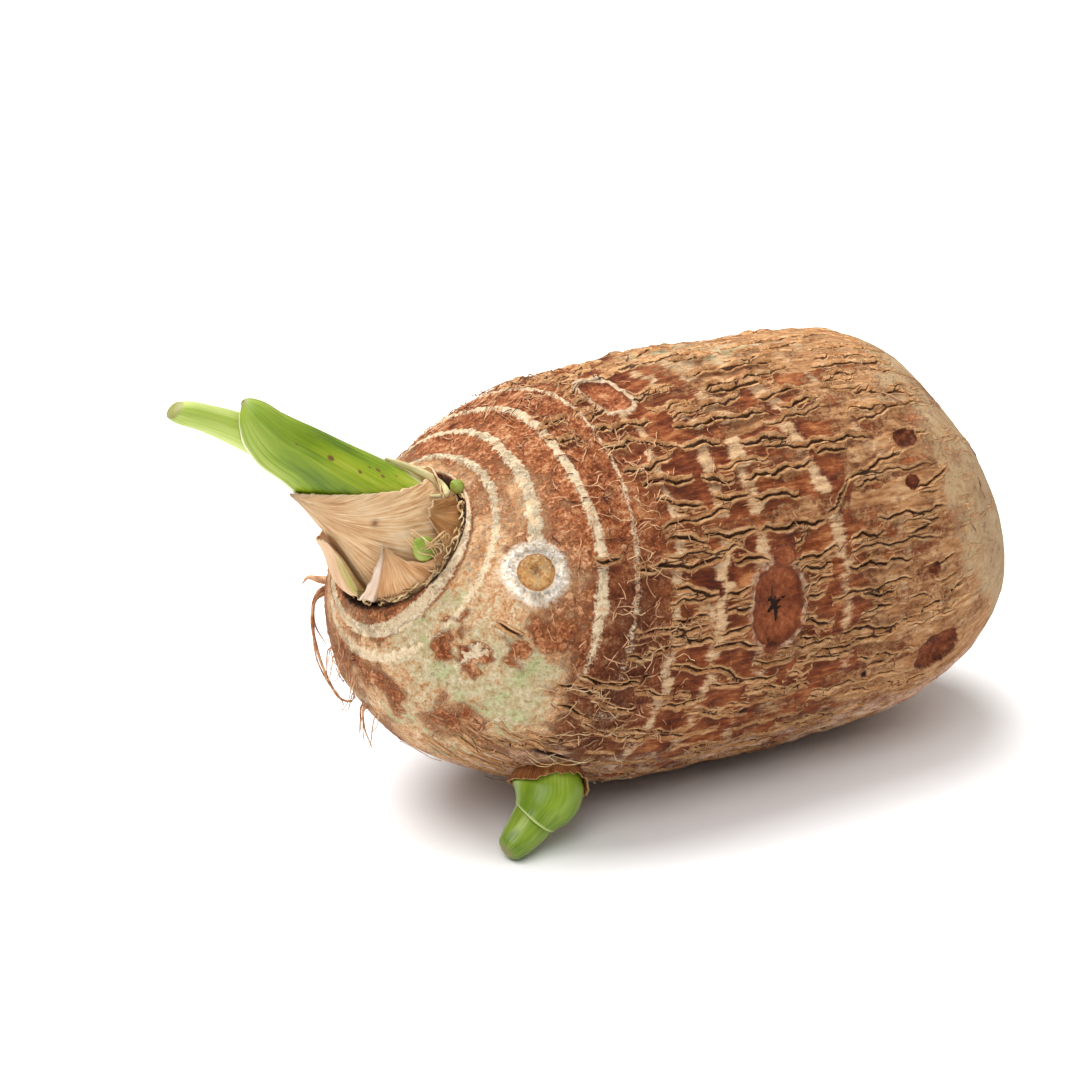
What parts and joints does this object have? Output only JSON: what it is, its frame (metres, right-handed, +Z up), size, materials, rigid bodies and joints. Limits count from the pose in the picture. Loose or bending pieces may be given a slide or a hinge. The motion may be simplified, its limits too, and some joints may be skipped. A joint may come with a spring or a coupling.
{
  "type": "taro root",
  "caption": "Whole taro corm lying on its belly, ringed and corky, with a green leaf shoot at the crown, a side shoot and dry root strands.",
  "frame": {"origin": "middle of the flat resting spot under the belly, on the surface it lies on", "axes": "+Z up; +X along the corm towards the old butt end, -X towards the crown and its shoot; -Y towards the side with the side shoot"},
  "size_m": [0.2365, 0.1094, 0.1133],
  "materials": {
    "corm_skin": "rough corky skin with fibrous rings",
    "green_stalk": "satin living leaf stalk",
    "dry_sheath": "papery, dry",
    "husk": "brown, dry",
    "root_fibre": "dry fibre"
  },
  "bodies": {
    "root": {"corm": "corm_skin", "petiole_outer": "green_stalk", "petiole_inner": "green_stalk", "sheath_inner_dry": "dry_sheath", "sheath_outer_dry": "dry_sheath", "crown_bud_upper": "green_stalk", "crown_bud_front": "green_stalk", "side_shoot_scale": "green_stalk", "side_shoot_tip": "green_stalk", "side_shoot_husk": "husk", "root_tuft": "root_fibre", "root_strand": "root_fibre"}
  },
  "joints": []
}
